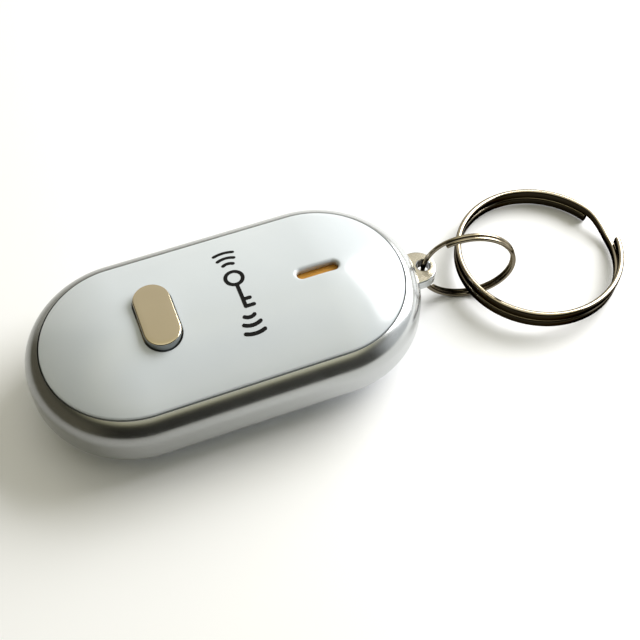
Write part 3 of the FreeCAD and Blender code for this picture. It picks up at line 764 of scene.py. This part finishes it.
# ---- split rings -----------------------------------------------------------------------------------
COIL_GAP = 0.04                      # clear space between the two turns of a ring
WIRE_EDGE = 0.45                     # radius of the wire's edges, as a share of its thinner side
WIRE_STEP = 2.0                      # degrees between sections of the wire
END_TAPER = 0.12                     # the wire's last section is smaller by this share
END_REACH = 0.02                     # and lies this far beyond the one before
SMALL_RING_R = 6.65                  # mean radius
SMALL_WIRE = (0.65, 0.60)            # wire's thickness across the ring, and along its axis
SMALL_RING_CENTRE = (36.15, -1.61, 7.02)
SMALL_RING_TURN = -14.0              # heading of the ring from the hole, about Z
SMALL_RING_ANGLES = (57.0, 315.0, 417.0, 675.0)  # first end, start and end of the crossing, last end
LARGE_RING_OD = 25.0
LARGE_WIRE = (0.85, 1.42)
LARGE_RING_CENTRE = (48.74, -0.56, 2.30)
LARGE_RING_TILT = 3.3                # one side all but touches the surface
LARGE_RING_LOW_SIDE = 41.0           # heading of that side, about Z
LARGE_RING_ANGLES = (24.0, 356.0, 384.0, 640.0)
LARGE_RING_TAIL = (69.0, 0.85)       # the top end springs outward: its arc, and how far its centre shifts


def section_points(size, per_corner=5):
    """The wire's section: a rectangle with rounded corners."""
    edge = WIRE_EDGE * min(size)
    reach_r, reach_z = size[0] / 2 - edge, size[1] / 2 - edge
    points = []
    for quarter, (sr, sz) in enumerate(((1, 1), (-1, 1), (-1, -1), (1, -1))):
        corner = (sr * reach_r, sz * reach_z)
        start = math.pi / 2 * quarter
        points += arc_points(corner, edge, start, start + math.pi / 2, per_corner)
    return np.array(points)


def split_ring(radius, size, angles, tail=(0.0, 0.0)):
    """Two turns of wire and the slanting strand between them, swept as one closed tube.

    The tail (degrees, shift) carries the last end on, about a centre that lies shift behind the ring's.
    """
    level = (size[1] + COIL_GAP) / 2
    first, cross_start, cross_end, last = angles
    shape = section_points(size)
    turns = np.unique([*np.arange(first, last, WIRE_STEP), cross_start, cross_end, last])
    loops = []
    for angle in turns:
        t = min(max((angle - cross_start) / (cross_end - cross_start), 0), 1)
        z = level * (2 * t * t * (3 - 2 * t) - 1)
        a = math.radians(angle)
        r = radius + shape[:, 0]
        loops.append(np.column_stack([r * math.cos(a), r * math.sin(a), z + shape[:, 1]]))
    arc, shift = tail
    base = math.radians(last)
    for turn in np.arange(WIRE_STEP, arc + 1.0, WIRE_STEP):
        a = math.radians(last + min(turn, arc))
        r = radius + shift + shape[:, 0]
        loops.append(np.column_stack([r * math.cos(a) - shift * math.cos(base),
                                      r * math.sin(a) - shift * math.sin(base), level + shape[:, 1]]))
    for end, inner in ((0, 1), (-1, -2)):
        middle = loops[end].mean(0)
        away = middle - loops[inner].mean(0)
        tip = middle + (loops[end] - middle) * (1 - END_TAPER) + away / np.linalg.norm(away) * END_REACH
        loops = [tip] + loops if end == 0 else loops + [tip]
    return stack(loops, capped=True)


def turn_about(points, axis, degrees):
    """Turn points about an axis through the origin."""
    k = np.array(axis, float) / np.linalg.norm(axis)
    a = math.radians(degrees)
    return (points * math.cos(a) + np.cross(k, points) * math.sin(a)
            + np.outer(points @ k, k) * (1 - math.cos(a)))


def small_split_ring():
    """The ring through the lug's hole, standing upright."""
    verts, faces = split_ring(SMALL_RING_R, SMALL_WIRE, SMALL_RING_ANGLES)
    upright = turn_about(verts, (1, 0, 0), 90)
    verts = turn_about(upright, (0, 0, 1), 180 + SMALL_RING_TURN) + np.array(SMALL_RING_CENTRE)
    obj = make_object("small_ring_wire", verts, faces, SMALL_NICKEL)
    finish_piece(obj, "small_ring", "ring_nickel", "small_split_ring")


def large_split_ring():
    """The key ring through the small one, lying almost flat."""
    radius = (LARGE_RING_OD - LARGE_WIRE[0]) / 2
    verts, faces = split_ring(radius, LARGE_WIRE, LARGE_RING_ANGLES, LARGE_RING_TAIL)
    heading = math.radians(LARGE_RING_LOW_SIDE + 90)
    tilted = turn_about(verts, (math.cos(heading), math.sin(heading), 0), LARGE_RING_TILT)
    obj = make_object("large_ring_wire", tilted + np.array(LARGE_RING_CENTRE), faces, LARGE_NICKEL)
    finish_piece(obj, "large_ring", "ring_nickel", "large_split_ring")


# ---- build -----------------------------------------------------------------------------------------
front_cover()
rear_cover()
mid_frame()
push_button()
printed_symbol()
small_split_ring()
large_split_ring()

# Every CAD node's finish by its slot: two close tones, how metallic, and the range of roughness.
FINISHES = {
    "switch_black": ((0.025, 0.025, 0.027), (0.04, 0.04, 0.042), 0.0, (0.40, 0.55)),
    "tinned_steel": ((0.62, 0.62, 0.60), (0.72, 0.72, 0.70), 1.0, (0.25, 0.40)),
    "spring_steel": ((0.50, 0.49, 0.47), (0.60, 0.59, 0.57), 1.0, (0.20, 0.35)),
    "board_green": ((0.012, 0.12, 0.05), (0.02, 0.17, 0.07), 0.0, (0.25, 0.40)),
    "chip_black": ((0.02, 0.02, 0.022), (0.035, 0.035, 0.037), 0.0, (0.45, 0.60)),
    "ceramic_tan": ((0.42, 0.33, 0.22), (0.52, 0.42, 0.30), 0.0, (0.40, 0.55)),
    "copper": ((0.72, 0.40, 0.22), (0.82, 0.52, 0.32), 1.0, (0.20, 0.35)),
    "brass": ((0.50, 0.235, 0.035), (0.57, 0.285, 0.05), 0.55, (0.38, 0.52)),
    "cell_steel": ((0.62, 0.62, 0.62), (0.74, 0.74, 0.73), 1.0, (0.18, 0.32)),
    "gasket_grey": ((0.16, 0.165, 0.175), (0.22, 0.225, 0.235), 0.0, (0.50, 0.65)),
    "electrode_dark": ((0.03, 0.03, 0.032), (0.06, 0.06, 0.062), 0.0, (0.70, 0.85)),
    "piezo_ceramic": ((0.68, 0.64, 0.54), (0.78, 0.74, 0.64), 0.0, (0.45, 0.60)),
    "silver_film": ((0.70, 0.70, 0.69), (0.80, 0.80, 0.79), 1.0, (0.35, 0.50)),
    "tape_white": ((0.70, 0.70, 0.68), (0.78, 0.78, 0.76), 0.0, (0.55, 0.70)),
    "cover_white": ((0.575, 0.62, 0.66), (0.605, 0.65, 0.685), 0.0, (0.17, 0.23)),
    "frame_silver": ((0.285, 0.30, 0.315), (0.325, 0.34, 0.355), 0.95, (0.19, 0.24)),
    "button_champagne": ((0.61, 0.54, 0.385), (0.64, 0.565, 0.405), 1.0, (0.15, 0.19)),
    "ring_nickel": ((0.055, 0.046, 0.035), (0.14, 0.122, 0.096), 1.0, (0.09, 0.18)),
}
finishes = {slot: plain_finish(slot + " finish", *values) for slot, values in FINISHES.items()}
for subpart in frame["record"]["subparts"]:
    node = frame["nodes"][subpart["node"]]
    node.data.materials.clear()
    node.data.materials.append(finishes[subpart["material_slot"]])


# ---- floor, lights and camera ----------------------------------------------------------------------
FLOOR_Z = -0.02
FLOOR_HALF = 2000.0
CAMERA_AIM = (11.54, -5.98, 12.0)
CAMERA_DISTANCE = 158.4
CAMERA_AZIMUTH = -20.85              # degrees round from the body's near side
CAMERA_ELEVATION = 56.1              # degrees above level
CAMERA_LENS = 65.73
CAMERA_SENSOR = 36.0

# The world's tone by height, from level 0 to straight up at 1.
CEILING_TONES = ((0.0, (0.020, 0.018, 0.012)), (0.62, (0.010, 0.009, 0.004)), (0.78, (0.050, 0.047, 0.024)),
                 (0.83, (0.30, 0.285, 0.175)), (0.90, (0.85, 0.80, 0.55)), (0.96, (1.25, 1.22, 1.02)),
                 (1.0, (0.92, 0.96, 0.98)))
# Backdrops, each laid over the one before: the direction it stands in, how its sides fade in, how its
# top fades out with height, and its tone. The first is dim, on the left; the others are bright, at the
# far right and behind.
BACKDROPS = (((-0.95, 0.31, 0.0), (0.25, 0.75), (0.78, 0.55), (0.19, 0.172, 0.118)),
             ((0.93, 0.37, 0.0), (0.20, 0.60), (0.78, 0.55), (0.78, 0.80, 0.80)),
             ((0.50, 0.87, 0.0), (0.35, 0.55), (0.94, 0.86), (0.72, 0.70, 0.62)))


def studio_floor():
    """A wide flat sheet just under the part."""
    count = 24
    places = np.linspace(-FLOOR_HALF, FLOOR_HALF, count)
    verts = [(x, y, FLOOR_Z) for y in places for x in places]
    faces = [(j * count + i, j * count + i + 1, (j + 1) * count + i + 1, (j + 1) * count + i)
             for j in range(count - 1) for i in range(count - 1)]
    make_object("floor", verts, faces, floor_material())


def softbox(name, centre_mm, aim_mm, size_mm, watts, colour):
    """A soft rectangular lamp turned toward its aim."""
    data = bpy.data.lights.new(name, "AREA")
    data.shape = "RECTANGLE"
    data.size, data.size_y = size_mm[0] * MM, size_mm[1] * MM
    data.energy = watts
    data.color = colour
    lamp = bpy.data.objects.new(name, data)
    bpy.context.collection.objects.link(lamp)
    lamp.location = Vector(centre_mm) * MM
    lamp.rotation_euler = (Vector(aim_mm) - Vector(centre_mm)).to_track_quat("-Z", "Y").to_euler()


def camera():
    """The camera at the photo's angle."""
    data = bpy.data.cameras.new("camera")
    data.sensor_width = CAMERA_SENSOR
    data.lens = CAMERA_LENS
    data.clip_start = 0.005
    obj = bpy.data.objects.new("camera", data)
    bpy.context.collection.objects.link(obj)
    azimuth, elevation = math.radians(CAMERA_AZIMUTH), math.radians(CAMERA_ELEVATION)
    back = Vector((math.sin(azimuth) * math.cos(elevation), -math.cos(azimuth) * math.cos(elevation),
                   math.sin(elevation)))
    obj.location = (Vector(CAMERA_AIM) + back * CAMERA_DISTANCE) * MM
    obj.rotation_mode = "QUATERNION"
    obj.rotation_quaternion = (-back).to_track_quat("-Z", "Y")
    bpy.context.scene.camera = obj


def world():
    """A studio with a bright ceiling and its backdrops, dark on the camera's side."""
    made = bpy.data.worlds.new("studio")
    bpy.context.scene.world = made
    made.use_nodes = True
    nodes, links = made.node_tree.nodes, made.node_tree.links
    place = nodes.new("ShaderNodeTexCoord").outputs["Generated"]
    height = nodes.new("ShaderNodeSeparateXYZ")
    links.new(place, height.inputs["Vector"])

    def smooth(value, start, end):
        """0 at start easing to 1 at end."""
        step = nodes.new("ShaderNodeMapRange")
        step.interpolation_type = "SMOOTHSTEP"
        step.inputs["From Min"].default_value = start
        step.inputs["From Max"].default_value = end
        links.new(value, step.inputs["Value"])
        return step.outputs["Result"]

    def backdrop(behind, direction, sides, top, tone):
        """Lay a backdrop's tone over what is behind it, in its direction and below its top."""
        toward = nodes.new("ShaderNodeVectorMath")
        toward.operation = "DOT_PRODUCT"
        links.new(place, toward.inputs[0])
        toward.inputs[1].default_value = direction
        share = nodes.new("ShaderNodeMath")
        share.operation = "MULTIPLY"
        links.new(smooth(toward.outputs["Value"], *sides), share.inputs[0])
        links.new(smooth(height.outputs["Z"], *top), share.inputs[1])
        mix = nodes.new("ShaderNodeMix")
        mix.data_type = "RGBA"
        links.new(share.outputs["Value"], mix.inputs[0])
        links.new(behind, mix.inputs[6])
        mix.inputs[7].default_value = (*tone, 1.0)
        return mix.outputs[2]

    ramp = nodes.new("ShaderNodeValToRGB")
    links.new(height.outputs["Z"], ramp.inputs["Fac"])
    while len(ramp.color_ramp.elements) < len(CEILING_TONES):
        ramp.color_ramp.elements.new(0.5)
    for element, (position, tone) in zip(ramp.color_ramp.elements, CEILING_TONES):
        element.position = position
        element.color = (*tone, 1.0)
    colour = ramp.outputs["Color"]
    for values in BACKDROPS:
        colour = backdrop(colour, *values)
    links.new(colour, nodes["Background"].inputs["Color"])
    bpy.context.scene.view_settings.view_transform = "Standard"


studio_floor()
softbox("key", centre_mm=(260, 70, 182), aim_mm=(10, 0, 8), size_mm=(255, 225), watts=1.45,
        colour=(1.0, 0.99, 0.985))
world()
camera()
